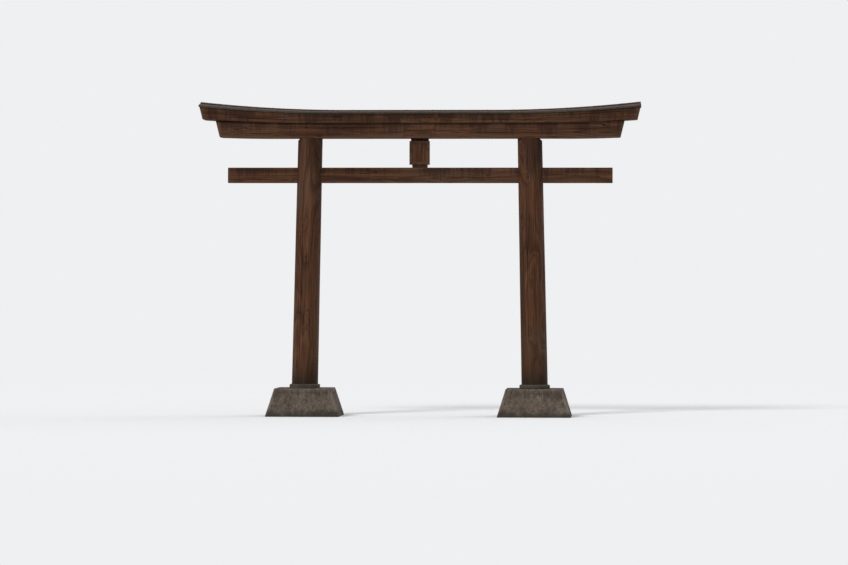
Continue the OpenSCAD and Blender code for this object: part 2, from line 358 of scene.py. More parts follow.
@dataclass(frozen=True)
class TimberFinish:
    """Old stained timber: rings round a pith, fibres, drying checks, knots and run-off."""

    name: str
    grain: Grain = Grain.LENGTHWISE
    pith: tuple[float, float, float] = (0.0, 0.0, 0.0)
    seed: float = 0.0
    body: Colour = (0.045, 0.0165, 0.0068)
    pale: Colour = (0.098, 0.040, 0.0165)
    dark: Colour = (0.0120, 0.0046, 0.0023)
    weathered: Colour = (0.066, 0.036, 0.0205)
    damp: Colour = (0.013, 0.0095, 0.0052)
    damp_from: float = 0.0
    damp_to: float = 0.0
    knotty: float = 1.0
    board_width: float = 0.0
    relief: float = 0.0032
    ring_scale: float = 46.0
    latewood_scale: float = 125.0

    def material(self) -> Material:
        """Builds the material.

        Returns:
            The timber.
        """
        r = Recipe(bpy.data.materials.new(self.name))
        f = self.figure(r)
        height = f.rings * 0.42 + f.fibre * 0.5 + f.latewood * 0.16 - f.split * 0.9 - f.knot * 0.12
        rough = r.span(f.streak, 0.3, 0.7, 0.64, 0.86)
        return r.shine(self.colour(r, f), rough, height, self.relief, Specular_IOR_Level=0.13)

    def along(self, r: Recipe) -> Flow:
        """The place in the timber, seen from its pith.

        Args:
            r: The recipe.

        Returns:
            The place with the fibres' axis first. It jumps from board to board.
        """
        centred = r.vectors("SUBTRACT", r.place, self.pith)
        if self.board_width:
            across = r.maths("DIVIDE", r.axes(r.place)[0], self.board_width)
            board = r.maths("FLOOR", across + 0.5)
            centred = r.vectors("ADD", centred, r.flow("CombineXYZ", {0: board * 0.19, 2: board}))
        parts = r.axes(centred)
        return r.flow("CombineXYZ", {i: parts[axis] for i, axis in enumerate(self.grain.value)})

    def figure(self, r: Recipe) -> Figure:
        """Grows the timber: rings that wander and swirl round knots, fibres and splits.

        Args:
            r: The recipe.

        Returns:
            Its patterns.
        """
        along = self.along(r)
        wander = r.cloud(along, (0.45, 2.2, 2.2), self.seed, 2.0, 0.5, "Color")
        wander = r.vectors("MULTIPLY", r.vectors("SUBTRACT", wander, (0.5, 0.5, 0.5)), (0.0, 0.11, 0.11))
        drift = r.vectors("ADD", r.vectors("MULTIPLY", along, (0.0, 1.0, 1.0)), wander)
        knot_gap = r.cells(r.scaled(along, (1.5, 3.3, 3.3), self.seed), 1.0)
        radius = r.length(drift) + r.span(knot_gap, 0.03, 0.25, 0.019 * self.knotty, 0.0)
        ring_feeds = {"W": radius * self.ring_scale, "Scale": 1.0, "Detail": 5.0, "Roughness": 0.62}
        rings = r.flow("TexNoise", ring_feeds, noise_dimensions="1D")
        vein_gap = r.maths("ABSOLUTE", r.cloud(along, (0.42, 13.0, 13.0), self.seed + 8, 1.5, 0.4) - 0.5)
        split_zone = r.span(r.cloud(along, (0.8, 3.5, 3.5), self.seed + 4), 0.46, 0.60)
        return Figure(
            rings=rings,
            latewood=r.span(r.maths("FRACT", radius * self.latewood_scale + rings * 3.0), 0.35, 0.92),
            fibre=r.cloud(along, (2.6, 120.0, 120.0), self.seed, 4.0, 0.62),
            streak=r.cloud(along, (0.32, 8.5, 8.5), self.seed, 4.0, 0.6),
            patch=r.cloud(r.place, (0.9, 0.9, 0.9), self.seed, 4.0, 0.6),
            split=r.span(vein_gap, 0.002, 0.011, 1.0, 0.0) * split_zone,
            knot=r.span(knot_gap, 0.035, 0.065, self.knotty, 0.0),
        )

    def colour(self, r: Recipe, f: Figure) -> Flow:
        """Colours long grain and end grain, stains them with run-off and damp, and darkens the splits and
        knots.

        Args:
            r: The recipe.
            f: The timber's patterns.

        Returns:
            The colour.
        """
        facing = r.axes(r.flow("NewGeometry", output="Normal"))
        worn = r.mark("worn") * r.span(f.patch, 0.35, 0.6, 0.25, 0.8)
        end_grain = r.span(r.maths("ABSOLUTE", facing[self.grain.value[0]]), 0.75, 0.93)
        end_rings = r.span(f.rings, 0.40, 0.60)
        run_off = r.cloud(r.place, (19.0, 19.0, 0.9), self.seed + 2, 5.0, 0.66)
        run_zone = r.cloud(r.place, (2.6, 2.6, 0.8), self.seed + 6, 2.0)
        run_reach = r.mark("drip") * r.span(run_zone, 0.34, 0.64, 0.14, 0.50)
        upright = r.span(r.maths("ABSOLUTE", facing[2]), 0.3, 0.6, 0.62, 0.0)
        colour = r.layers(
            self.body,
            (r.span(f.rings, 0.32, 0.68), self.pale),
            (r.span(f.streak, 0.36, 0.66, 0.0, 0.62), self.dark),
            (r.span(f.fibre, 0.42, 0.75, 0.0, 0.55), shade(self.pale, 1.25)),
            (r.span(f.fibre, 0.22, 0.45, 0.5, 0.0), self.dark),
            (r.span(f.patch, 0.46, 0.68, 0.0, 0.6), self.weathered),
            (worn, shade(self.weathered, 1.5)),
            (end_grain, r.layers(shade(self.dark, 1.1), (end_rings, shade(self.body, 1.25)))),
            (f.latewood * 0.42, self.dark),
            (r.span(run_off + run_reach, 0.64, 0.88) * upright, shade(self.dark, 1.1)),
        )
        if self.damp_to > self.damp_from:
            level = r.axes(r.place)[2] + r.cloud(r.place, (9.0, 9.0, 1.6), 0.0, 4.0) * 0.35
            soaked = r.span(level, self.damp_from + 0.17, self.damp_to + 0.17, 0.78, 0.0)
            colour = r.layers(colour, (soaked, self.damp))
        # Darker in the splits and at the knots
        return r.layers(colour, (r.maths("MAXIMUM", f.split, f.knot * 0.7), shade(self.dark, 0.55)))


@dataclass(frozen=True)
class StoneFinish:
    """Grey-brown stone: speckle, mottling, damp from below, lichen, paler arrises, and painted shade in its
    scoops and pick dents.
    """

    name: str
    body: Colour = (0.092, 0.070, 0.052)
    pale: Colour = (0.142, 0.112, 0.086)
    dark: Colour = (0.027, 0.0200, 0.0150)
    lichen: Colour = (0.148, 0.138, 0.094)
    damp: Colour = (0.019, 0.0165, 0.0125)
    damp_low: float = 0.09
    damp_high: float = 0.23
    lichen_share: float = 0.35
    tooled: float = 1.0
    relief: float = 0.0065
    grain_scale: float = 310.0
    pit_scale: float = 34.0

    def material(self) -> Material:
        """Builds the material.

        Returns:
            The stone.
        """
        r = Recipe(bpy.data.materials.new(self.name))
        mottle = r.cloud(r.place, (3.4, 3.4, 3.4), 0.0, 6.0, 0.62)
        crust = r.cloud(r.place, (14.0, 14.0, 14.0), 3.0, 6.0, 0.7)
        grains = r.axes(r.cells(r.place, self.grain_scale, "Color"))
        warp = r.vectors("MULTIPLY", r.cloud(r.place, (30.0, 30.0, 30.0)), (0.012, 0.012, 0.012))
        pits = r.cells(r.vectors("ADD", r.place, warp), self.pit_scale)
        hewn = r.span(r.mark("worn"), 0.0, 0.12, self.tooled, 0.0)
        run_off = r.cloud(r.place, (17.0, 17.0, 0.9), 5.0, 4.0, 0.6) + r.mark("drip") * 0.32
        worn = r.span(r.mark("worn"), 0.35, 1.0) * r.span(crust, 0.30, 0.62, 0.85, 0.15)
        spots = r.span(r.cells(r.scaled(r.place, (11.0, 11.0, 11.0), 7.0), 1.0) + crust * 0.55, 0.50, 0.44)
        level = r.axes(r.place)[2] + (mottle * 0.36 + crust * 0.16 - 0.18)
        colour = r.layers(
            self.body,
            (r.span(mottle, 0.36, 0.66, 0.1, 0.8), self.pale),
            (r.span(crust, 0.45, 0.68, 0.0, 0.32), self.dark),
            (r.span(grains[0], 0.30, 1.0, 0.0, 0.50), shade(self.dark, 0.8)),
            (r.span(grains[1], 0.60, 1.0, 0.0, 0.45), shade(self.pale, 1.5)),
            # Painted shade: the pick dents of the hewn fields are darkened where their bump lies lowest
            (r.span(pits, 0.12, 0.62, 0.52, 0.0) * hewn, self.dark),
            # Painted shade: the scoops are darker, as if shade lay in them
            (r.mark("hollow_shade") * 0.62, self.dark),
            (r.span(run_off, 0.62, 0.82, 0.0, 0.6), self.dark),
            (worn, shade(self.pale, 1.15)),
            (spots * r.span(mottle, 0.50, 0.60, 0.0, self.lichen_share), self.lichen),
            (r.span(level, self.damp_low, self.damp_high, 0.85, 0.0), self.damp),
        )
        height = crust * 0.4 + pits * hewn * 0.8 + r.cloud(r.place, (150.0, 150.0, 150.0)) * 0.2
        rough = r.span(crust, 0.3, 0.7, 0.74, 0.92)
        return r.shine(colour, rough, height, self.relief, Specular_IOR_Level=0.22)


@dataclass(frozen=True)
class CopperFinish:
    """Copper sheet gone brown, with dull green along seams and hems."""

    name: str
    body: Colour = (0.034, 0.0180, 0.0110)
    bright: Colour = (0.072, 0.036, 0.0195)
    dark: Colour = (0.012, 0.0078, 0.0056)
    green: Colour = (0.034, 0.043, 0.031)
    relief: float = 0.0012

    def material(self) -> Material:
        """Builds the material.

        Returns:
            The copper.
        """
        r = Recipe(bpy.data.materials.new(self.name))
        mottle = r.cloud(r.place, (3.0, 3.0, 3.0), 0.0, 6.0, 0.65)
        wash = r.cloud(r.place, (15.0, 2.2, 6.0), 2.0, 4.0, 0.6)
        edge = r.mark("worn") + (mottle - 0.5) * 1.1
        colour = r.layers(
            self.body,
            (r.span(mottle, 0.38, 0.66), self.bright),
            (r.span(wash, 0.42, 0.66, 0.0, 0.7), self.dark),
            (r.span(edge, 0.55, 1.20, 0.0, 0.62), self.green),
            (r.span(wash + mottle, 1.12, 1.28, 0.0, 0.4), self.green),
        )
        height = r.cloud(r.place, (7.0, 7.0, 7.0), 5.0, 2.0) + mottle * 0.3
        rough = r.span(mottle, 0.35, 0.65, 0.52, 0.74)
        return r.shine(colour, rough, height, self.relief, Metallic=0.35, Specular_IOR_Level=0.22)


@dataclass(frozen=True)
class IronFinish:
    """Black iron with thin rust."""

    name: str
    body: Colour = (0.0125, 0.0108, 0.0098)
    rust: Colour = (0.085, 0.031, 0.0135)
    relief: float = 0.0006

    def material(self) -> Material:
        """Builds the material.

        Returns:
            The iron.
        """
        r = Recipe(bpy.data.materials.new(self.name))
        scale = r.cloud(r.place, (28.0, 28.0, 28.0), 0.0, 5.0, 0.65)
        rusty = r.span(scale + r.mark("worn") * 0.12, 0.52, 0.72, 0.0, 0.7)
        colour = r.layers(self.body, (rusty, self.rust))
        rough = r.span(scale, 0.4, 0.6, 0.55, 0.85)
        pits = r.cloud(r.place, (240.0, 240.0, 240.0))
        return r.shine(colour, rough, pits, self.relief, Metallic=0.2, Specular_IOR_Level=0.25)


def spread(low: float, high: float, pitch: float) -> list[float]:
    """Places between two ends that divide the length evenly, a pitch apart at most."""
    count = max(1, math.ceil((high - low) / pitch))
    return [low + (high - low) * i / count for i in range(1, count)]


def slice_at(bm: Mesh, axis: int, places: Iterable[float]) -> None:
    """Cuts a mesh straight through.

    Args:
        bm: The mesh.
        axis: 0, 1 or 2 for x, y or z.
        places: Where to cut along that axis.
    """
    normal = Vector((0, 0, 0))
    normal[axis] = 1
    for place in places:
        whole = bm.verts[:] + bm.edges[:] + bm.faces[:]
        bmesh.ops.bisect_plane(bm, geom=whole, dist=TINY, plane_co=normal * place, plane_no=normal)


def add_box(bm: Mesh, low: Sequence[float], high: Sequence[float]) -> Mesh:
    """Adds a box to a mesh.

    Args:
        bm: The mesh.
        low: The box's lowest corner.
        high: Its highest corner.

    Returns:
        The same mesh.
    """
    low, high = Vector(low), Vector(high)
    made = bmesh.ops.create_cube(bm, size=1)["verts"]
    bmesh.ops.scale(bm, vec=high - low, verts=made)
    bmesh.ops.translate(bm, vec=(low + high) / 2, verts=made)
    return bm


def soften(bm: Mesh, radius: float, segments: int = 3, sharper_than: float = 40.0) -> None:
    """Rounds the sharp edges of a mesh.

    Args:
        bm: The mesh.
        radius: How much of each face the rounding takes.
        segments: How many strips make it round.
        sharper_than: Edges that turn by more than these degrees are rounded.
    """
    limit = math.radians(sharper_than)
    edges = [e for e in bm.edges if e.is_manifold and e.calc_face_angle(0) > limit]
    bmesh.ops.bevel(
        bm, geom=edges, offset=radius, offset_type="OFFSET", segments=segments,
        profile=0.5, affect="EDGES", material=-1, clamp_overlap=True,
    )


def move_points(bm: Mesh, move: Callable[[Vector], Vector]) -> None:
    """Puts every point of a mesh where a rule says."""
    for vert in bm.verts:
        vert.co = move(vert.co)


def press(bm: Mesh, depth: Rule) -> None:
    """Presses every point of a mesh inwards, along its normal.

    Args:
        bm: The mesh.
        depth: How deep a point goes.
    """
    bm.normal_update()
    places = [vert.co - vert.normal * depth(vert.co) for vert in bm.verts]
    for vert, place in zip(bm.verts, places):
        vert.co = place


def mark(bm: Mesh, name: str, rule: Rule) -> None:
    """Gives every point of a mesh a number that its finish reads.

    Args:
        bm: The mesh.
        name: worn for edges, drip for what runs off a top edge, and one for the depth of the scoops, which
            a stone's finish paints as shade.
        rule: The number for a point.
    """
    layer = bm.verts.layers.float.new(name)
    for vert in bm.verts:
        vert[layer] = rule(vert.co)


def edge_gap(point: Vector, low: Sequence[float], high: Sequence[float]) -> float:
    """Distance of a point on a box from the nearest edge."""
    return sorted(min(abs(c - a), abs(b - c)) for c, a, b in zip(point, low, high))[1]


def edge_wear(low: Sequence[float], high: Sequence[float], reach: float) -> Rule:
    """A rule for how near a point is to a box's edges, from 1 there to 0."""
    return lambda point: max(0.0, 1.0 - edge_gap(point, low, high) / reach)


def run_down(top: float, reach: float) -> Rule:
    """A rule for how near a point is below a top edge, from 1 there to 0."""
    return lambda point: max(0.0, 1.0 - (top - point.z) / reach)


def mirror(bm: Mesh, axis: int) -> None:
    """Mirrors a mesh along one axis, with its faces still outwards."""
    bmesh.ops.scale(bm, vec=[-1 if i == axis else 1 for i in range(3)], verts=bm.verts)
    bmesh.ops.reverse_faces(bm, faces=bm.faces)


def nail_head(bm: Mesh, place: Sequence[float], radius: float, flat: float, strips: Sequence[int]) -> None:
    """Adds a nail head that is flattened towards the face it is driven into.

    Args:
        bm: The mesh that it joins.
        place: Its middle.
        radius: Its radius.
        flat: Its thickness over its width.
        strips: How many strips it has round its axis and along it.
    """
    sizes = {"u_segments": strips[0], "v_segments": strips[1], "radius": radius}
    made = bmesh.ops.create_uvsphere(bm, **sizes)["verts"]
    bmesh.ops.scale(bm, vec=(1, flat, 1), verts=made)
    bmesh.ops.translate(bm, vec=place, verts=made)


def stand(name: str, data: bpy.types.ID) -> bpy.types.Object:
    """Puts a mesh, lamp or camera into the scene.

    Args:
        name: The new object's name.
        data: What it shows.

    Returns:
        The object, at the origin.
    """
    thing = bpy.data.objects.new(name, data)
    bpy.context.scene.collection.objects.link(thing)
    return thing


def settle(
    name: str, bm: Mesh, material: Material,
    node: str = "", side: Side = Side.RIGHT, smooth_below: float = 42.0,
) -> None:
    """Turns a finished mesh into a piece of the gate.

    Args:
        name: The piece's name.
        bm: Its mesh, which is used up.
        material: Its finish.
        node: The solid that it stands for, if there is one.
        side: Where it goes. A mesh is made for the right, and mirrored for the left.
        smooth_below: Edges that turn by fewer degrees are shaded round.
    """
    if side is Side.LEFT:
        mirror(bm, 0)
    bm.normal_update()
    for face in bm.faces:
        face.smooth = True
    for edge in bm.edges:
        edge.smooth = edge.is_manifold and edge.calc_face_angle(0) < math.radians(smooth_below)
    mesh = bpy.data.meshes.new(name)
    bm.to_mesh(mesh)
    bm.free()
    mesh.materials.append(material)
    piece = stand(name, mesh)
    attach(piece, BODY)
    if node:
        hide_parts(node)
    LOG.info("%s: %d triangles", name, sum(len(p.vertices) - 2 for p in mesh.polygons))


def gape(share: float, power: float, least: float, place: Sequence[float]) -> float:
    """How far a check is open at a share of its length, from 0 at its tips to about 1."""
    arc = math.sin(math.pi * share) ** power if 0 < share < 1 else 0.0
    return arc * (least + 0.35 * noise.noise(Vector(place)))


@dataclass(frozen=True)
class Check:
    """A drying check along the fibres of a squared timber's long face."""

    face: Face
    height: float
    start: float
    end: float
    width: float = 0.007
    depth: float = 0.022
    wander: float = 0.006

    def opening(self, x: float) -> float:
        share = (x - self.start) / (self.end - self.start)
        return gape(share, 0.6, 0.75, (x * 5, self.height * 9, 0))

    def cut(self, bm: Mesh, half_depth: float) -> None:
        """Opens the check in a mesh.

        Args:
            bm: A straight timber along x, with y = 0 in its middle.
            half_depth: Distance of its long faces from the middle.
        """
        side = self.face.value * half_depth
        on_face = 1e-4
        for row in (-1, 0, 1):
            faces = [f for f in bm.faces if all(abs(v.co.y - side) < on_face for v in f.verts)]
            around = dict.fromkeys(part for f in faces for part in (*f.verts, *f.edges, f))
            level = Vector((0, 0, self.height + row * self.width))
            bmesh.ops.bisect_plane(bm, geom=list(around), dist=TINY, plane_co=level, plane_no=(0, 0, 1))
        for vert in bm.verts:
            row = (vert.co.z - self.height) / self.width
            if abs(vert.co.y - side) > on_face or abs(row) > 1.001:
                continue
            opening = self.opening(vert.co.x)
            stray = self.wander * noise.noise(Vector((vert.co.x * 1.7, self.height * 31, self.start)))
            vert.co.z = self.height + stray + row * self.width * (0.2 + 0.3 * opening)
            if abs(row) < 0.5:
                vert.co.y -= self.face.value * self.depth * opening


@dataclass
class Part:
    """A sub-assembly of the gate, fitted to its shape and made of one material."""

    shape: GateShape
    finish: Material


@dataclass
class Plinth(Part):
    """A tapered stone block with drafted margins, hewn fields and chipped arrises."""

    side: Side
    top_half: float = 0.480
    base_half: float = 0.625
    arris: float = 0.009
    margin: float = 0.055
    margin_fade: float = 0.012
    chip_band: float = 0.034
    foot_fade: float = 0.05
    pitch: float = 0.0135
    least_hewn: float = 0.003
    scoop: float = 0.020
    swell: float = 0.008
    chip: float = 0.013
    chip_reach: float = 0.03
    grit: float = 0.0012
    drip_reach: float = 0.30

    def build(self) -> None:
        """Builds the plinth, straight at first and then tapered."""
        height, half = self.shape.plinth_top, self.base_half
        bm = add_box(bmesh.new(), (-half, -half, 0), (half, half, height))
        soften(bm, self.arris, 3, 80)
        for vert in bm.verts:
            if vert.co.z < self.arris * 0.3:
                vert.co.z = 0.0
        field = half - self.margin
        cuts = spread(-field, field, self.pitch)
        cuts += [s * reach for s in (-1, 1) for reach in (field, half - self.chip_band)]
        slice_at(bm, 0, cuts)
        slice_at(bm, 1, cuts)
        slice_at(bm, 2, spread(self.arris, height - self.arris, self.pitch))
        bmesh.ops.remove_doubles(bm, verts=bm.verts, dist=NEAR)
        mark(bm, "worn", edge_wear((-half, -half, -1.0), (half, half, height), self.margin))
        mark(bm, "drip", run_down(height, self.drip_reach))
        # The scoops' depth, which the stone's colour turns into painted shade
        mark(bm, "hollow_shade", self.hollow_shade)
        press(bm, self.dressing)
        taper = (1 - self.top_half / half) / height
        shift = Vector((self.side.value * self.shape.foot_x, 0, 0))
        move_points(bm, lambda p: Vector((p.x * (1 - taper * p.z), p.y * (1 - taper * p.z), p.z)) + shift)
        node = f"{self.side.word}_plinth"
        settle(f"{node}_block", bm, self.finish, node, smooth_below=50)

    @property
    def seed(self) -> Vector:
        """Where this plinth reads its noise."""
        return Vector((self.side.value * 7.3, 1.9, 4.1))

    def arris_gap(self, point: Vector) -> float:
        """Distance of a point on the straight block from its nearest arris."""
        half = self.base_half
        return sorted((half - abs(point.x), half - abs(point.y), self.shape.plinth_top - point.z))[1]

    def on_top(self, point: Vector) -> bool:
        """Whether a point is on the upper face, which is hewn flatter."""
        return self.shape.plinth_top - point.z < 0.002 and self.arris_gap(point) > self.arris

    def in_field(self, point: Vector) -> float:
        """How far a point is inside a hewn field, from 0 on the margins to 1."""
        return clamp((self.arris_gap(point) - self.margin) / self.margin_fade)

    def scooped(self, point: Vector) -> float:
        """How deep the mason's scoops are at a point, from 0 to 1."""
        return max(0.0, 1.0 - noise.voronoi(point * 11 + self.seed)[0][0] / 0.80)

    def hollow_shade(self, point: Vector) -> float:
        """How deeply scooped the finished surface is at a point above the ground, from 0 to 1, for the
        painted shade in the stone's colour.
        """
        share = (0.4 if self.on_top(point) else 1.0) * (point.z > NEAR)
        return self.scooped(point) * self.in_field(point) * share

    def dressing(self, point: Vector) -> float:
        """How much stone is gone at a point of the straight block.

        Args:
            point: The point.

        Returns:
            The depth of hewing, chips and grit together.
        """
        if point.z < NEAR:
            return 0.0
        above_foot = clamp(point.z / self.foot_fade)
        swell = self.swell * ripple(point * 4 + self.seed)
        hewn = self.least_hewn + self.scoop * self.scooped(point) + swell
        hewn *= self.in_field(point) * (0.3 if self.on_top(point) else 1.0)
        nick = max(0.0, noise.noise(point * 11 + self.seed) - 0.30) * 2.0
        nick += max(0.0, noise.noise(point * 29 + self.seed) - 0.28)
        chips = self.chip * nick * clamp(1 - self.arris_gap(point) / self.chip_reach)
        return (hewn + chips) * above_foot + self.grit * ripple(point * 40)


@dataclass
class FootRing(Part):
    """A low worn stone ring round a pillar's foot."""

    side: Side
    inner: float = 0.2245
    outer: float = 0.262
    height: float = 0.068
    round: float = 0.022
    chamfer: float = 0.004
    rim: float = 0.006
    rim_fade: float = 0.01
    grain_depth: float = 0.0035
    chip_depth: float = 0.030
    segments: int = 128

    def build(self) -> None:
        """Builds the ring."""
        bm = bmesh.new()
        points = [bm.verts.new((radius, 0, z)) for radius, z in self.profile()]
        edges = [bm.edges.new(pair) for pair in zip(points, points[1:] + points[:1])]
        bmesh.ops.spin(
            bm, geom=points + edges, cent=(0, 0, 0), axis=(0, 0, 1), angle=math.tau,
            steps=self.segments, use_merge=True,
        )
        bmesh.ops.remove_doubles(bm, verts=bm.verts, dist=NEAR)
        bmesh.ops.recalc_face_normals(bm, faces=bm.faces)
        shoulder = self.height - self.round
        mark(bm, "worn", lambda p: 0.7 * self.exposed(p) * clamp((p.z - shoulder) / self.round))
        press(bm, self.dent)
        move_points(bm, self.placed)
        node = f"{self.side.word}_foot_ring"
        settle(f"{node}_stone", bm, self.finish, node, self.side, smooth_below=60)

    def profile(self) -> list[tuple[float, float]]:
        """Draws the ring's section, from its inner foot round to its inner top.

        Returns:
            Its corners, as radius and height.
        """
        turns = [math.radians(90 * step / 8) for step in range(9)]
        centre_r, centre_z = self.outer - self.round, self.height - self.round
        return [
            (self.inner, 0.0), *((self.outer, z) for z in (0.0, 0.012, 0.024, 0.036)),
            *((centre_r + self.round * math.cos(t), centre_z + self.round * math.sin(t)) for t in turns),
            (self.inner + self.chamfer, self.height), (self.inner, self.height - self.chamfer),
        ]

    def exposed(self, point: Vector) -> float:
        """How open a point is to wear, from 0 beside the pillar to 1."""
        return clamp((math.hypot(point.x, point.y) - self.inner - self.rim) / self.rim_fade)

    def dent(self, point: Vector) -> float:
        """How much stone is gone at a point of the new ring.

        Args:
            point: The point.

        Returns:
            The depth of its grain and chips together.
        """
        seed = Vector((self.side.value * 3.1, 0.7, 0.2))
        grain = 0.5 + 0.5 * noise.fractal(point * 22 + seed, 0.8, 2.0, 3)
        chip = max(0.0, noise.noise(point * 11 + seed) - 0.22) * point.z / self.height
        return self.exposed(point) * (grain * self.grain_depth + chip * self.chip_depth)

    def placed(self, point: Vector) -> Vector:
        """A point of the ring on the right plinth, its bore leaning with the pillar."""
        lean = self.shape.lean * (math.hypot(point.x, point.y) < self.inner + self.rim)
        return point + Vector((self.shape.foot_x - point.z * lean, 0, self.shape.plinth_top))


@dataclass(frozen=True)
class TrunkCheck:
    """A long drying check up a round pillar. Foot and head are shares of its height."""

    turn: float
    foot: float
    head: float
    width: float = 0.008
    depth: float = 0.030
    sway: float = 0.05
    lip_depth: float = 0.0012

    def opening(self, share: float, z: float) -> float:
        reach = (share - self.foot) / (self.head - self.foot)
        return gape(reach, 0.5, 0.8, (z * 4, self.turn, 0))


@dataclass
class Pillar(Part):
    """A leaning, tapering round pillar with drying checks and a bevelled outer head."""

    side: Side
    checks: Sequence[TrunkCheck]
    foot_radius: float = 0.224
    head_radius: float = 0.209
    bevel_width: float = 0.050
    bevel_height: float = 0.042
    segments: int = 168
    rings: int = 104
    hewn: float = 0.0022
    drip_reach: float = 1.1

    @property
    def height(self) -> float:
        """Height from the plinth to the lintel."""
        return self.shape.under - self.shape.plinth_top

    def build(self) -> None:
        """Builds the pillar."""
        bm = bmesh.new()
        bmesh.ops.create_cone(
            bm, cap_ends=True, segments=self.segments,
            radius1=self.foot_radius, radius2=self.head_radius, depth=self.height,
        )
        upright = [e for e in bm.edges if abs(e.verts[0].co.z - e.verts[1].co.z) > self.height / 2]
        bmesh.ops.subdivide_edges(bm, edges=upright, cuts=self.rings, use_grid_fill=True)
        bmesh.ops.translate(bm, vec=(0, 0, self.height / 2), verts=bm.verts)
        mark(bm, "drip", run_down(self.height, self.drip_reach))
        move_points(bm, self.weathered)
        move_points(bm, lambda p: p - Vector((p.z * self.shape.lean, 0, 0)))
        self.bevel_head(bm)
        bmesh.ops.translate(bm, vec=(self.shape.foot_x, 0, self.shape.plinth_top), verts=bm.verts)
        node = f"{self.side.word}_pillar"
        settle(f"{node}_trunk", bm, self.finish, node, self.side, smooth_below=48)

    def weathered(self, point: Vector) -> Vector:
        """Where a point of the plain cone goes on the weathered trunk.

        Args:
            point: The point, with z = 0 at the foot.

        Returns:
            The new place, never outside the cone.
        """
        radius = math.hypot(point.x, point.y)
        if radius < TINY:
            return point
        turn = new_turn = math.atan2(point.y, point.x)
        column = math.tau / self.segments
        push = self.hewn * ripple(Vector((point.x * 5, point.y * 5, point.z * 0.9 + self.side.value * 5)))
        for check in self.checks:
            centre = round(check.turn / column) * column
            away = (turn - centre + math.pi) % math.tau - math.pi
            steps = away / column
            opening = check.opening(point.z / self.height, point.z)
            sway = check.sway * noise.noise(Vector((check.turn * 3, 0, point.z * 0.75)))
            new_turn += sway * math.exp(-((steps / 7) ** 2))
            if abs(steps) < 0.5:
                push += check.depth * opening
            elif abs(steps) < 1.5:
                half = check.width * (0.12 + 0.38 * opening) / radius
                new_turn += math.copysign(half, steps) - away
            elif abs(steps) < 2.5:
                new_turn -= math.copysign(column * 0.55, steps)
                push += check.lip_depth * opening
        radius -= push
        return Vector((math.cos(new_turn) * radius, math.sin(new_turn) * radius, point.z))

    def bevel_head(self, bm: Mesh) -> None:
        """Cuts the bevel on the outer side of the head.

        Args:
            bm: The leaning trunk, with z = 0 at its foot.
        """
        corner_x = self.head_radius - self.height * self.shape.lean
        start = Vector((corner_x - self.bevel_width, 0, self.height))
        slope = Vector((self.bevel_height, 0, self.bevel_width)).normalized()
        whole = bm.verts[:] + bm.edges[:] + bm.faces[:]
        bmesh.ops.bisect_plane(bm, geom=whole, dist=TINY, plane_co=start, plane_no=slope, clear_outer=True)
        rim = [e for e in bm.edges if e.is_boundary]
        bmesh.ops.holes_fill(bm, edges=rim, sides=0)


@dataclass
class SquaredTimber:
    """A straight squared timber along x, with worn arrises and drying checks."""

    low: Sequence[float]
    high: Sequence[float]
    arris: float = 0.006
    pitch: float = 0.06
    wear: float = 0.0016
    seed: float = 0.0
    checks: Sequence[Check] = ()
    tongue: float = 0.0
    tongue_above: bool = False
    edge_reach: float = 0.030
    drip_reach: float = 0.30

    def mesh(self) -> Mesh:
        """Builds the timber.

        Returns:
            Its mesh, with its long faces at y = low and high.
        """
        bm = add_box(bmesh.new(), self.low, self.high)
        if self.tongue:
            self.add_tongue(bm)
        start = self.low[0] - self.tongue
        slice_at(bm, 0, spread(start, self.high[0], self.pitch))
        slice_at(bm, 1, spread(self.low[1], self.high[1], self.pitch))
        slice_at(bm, 2, spread(self.low[2], self.high[2], self.pitch * 0.75))
        soften(bm, self.arris)
        for check in self.checks:
            check.cut(bm, (self.high[1] - self.low[1]) / 2)
        # A tongue's end is hidden in its joint, so the wear starts a metre past it
        worn_from = start - 1 if self.tongue else start
        mark(bm, "worn", edge_wear((worn_from, self.low[1], self.low[2]), self.high, self.edge_reach))
        mark(bm, "drip", run_down(self.high[2], self.drip_reach))
        press(bm, self.worn_depth)
        return bm

    def worn_depth(self, point: Vector) -> float:
        """How much timber has worn off at a point, in ripples along the fibres."""
        seed = Vector((self.seed, self.seed * 0.37, self.seed * 1.91))
        return self.wear * ripple(Vector((point.x * 2.6, point.y * 9.0, point.z * 9.0)) + seed)

    def add_tongue(self, bm: Mesh) -> None:
        """Draws the halved end out of the block's inner end.

        Args:
            bm: The block.
        """
        middle = (self.low[2] + self.high[2]) / 2
        slice_at(bm, 2, [middle])
        ends = [
            f for f in bm.faces
            if all(abs(v.co.x - self.low[0]) < TINY for v in f.verts)
            and (f.calc_center_median().z > middle) == self.tongue_above
        ]
        drawn = bmesh.ops.extrude_face_region(bm, geom=ends)["geom"]
        tip = [g for g in drawn if isinstance(g, bmesh.types.BMVert)]
        bmesh.ops.delete(bm, geom=ends, context="FACES")
        bmesh.ops.translate(bm, vec=(-self.tongue, 0, 0), verts=tip)
        bmesh.ops.recalc_face_normals(bm, faces=bm.faces)


@dataclass
class TieBeam(Part):
    """The straight beam that runs through both pillars."""

    def build(self) -> None:
        """Builds the beam inside its solid's box."""
        low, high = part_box("tie_beam")
        checks = [
            Check(Face.FRONT, low.z + 0.168, -1.55, -0.35, 0.008, 0.030),
            Check(Face.FRONT, low.z + 0.094, 0.45, 1.62, 0.007, 0.024),
            Check(Face.FRONT, low.z + 0.130, 2.28, 3.22, 0.006, 0.020),
            Check(Face.FRONT, low.z + 0.060, -3.24, -2.50, 0.007, 0.022),
            Check(Face.BACK, low.z + 0.142, -2.95, -0.80, 0.008, 0.028),
            Check(Face.BACK, low.z + 0.082, 0.20, 2.60, 0.008, 0.026),
        ]
        timber = SquaredTimber(low, high, 0.007, checks=checks, seed=2.0)
        settle("tie_beam_timber", timber.mesh(), self.finish, "tie_beam")


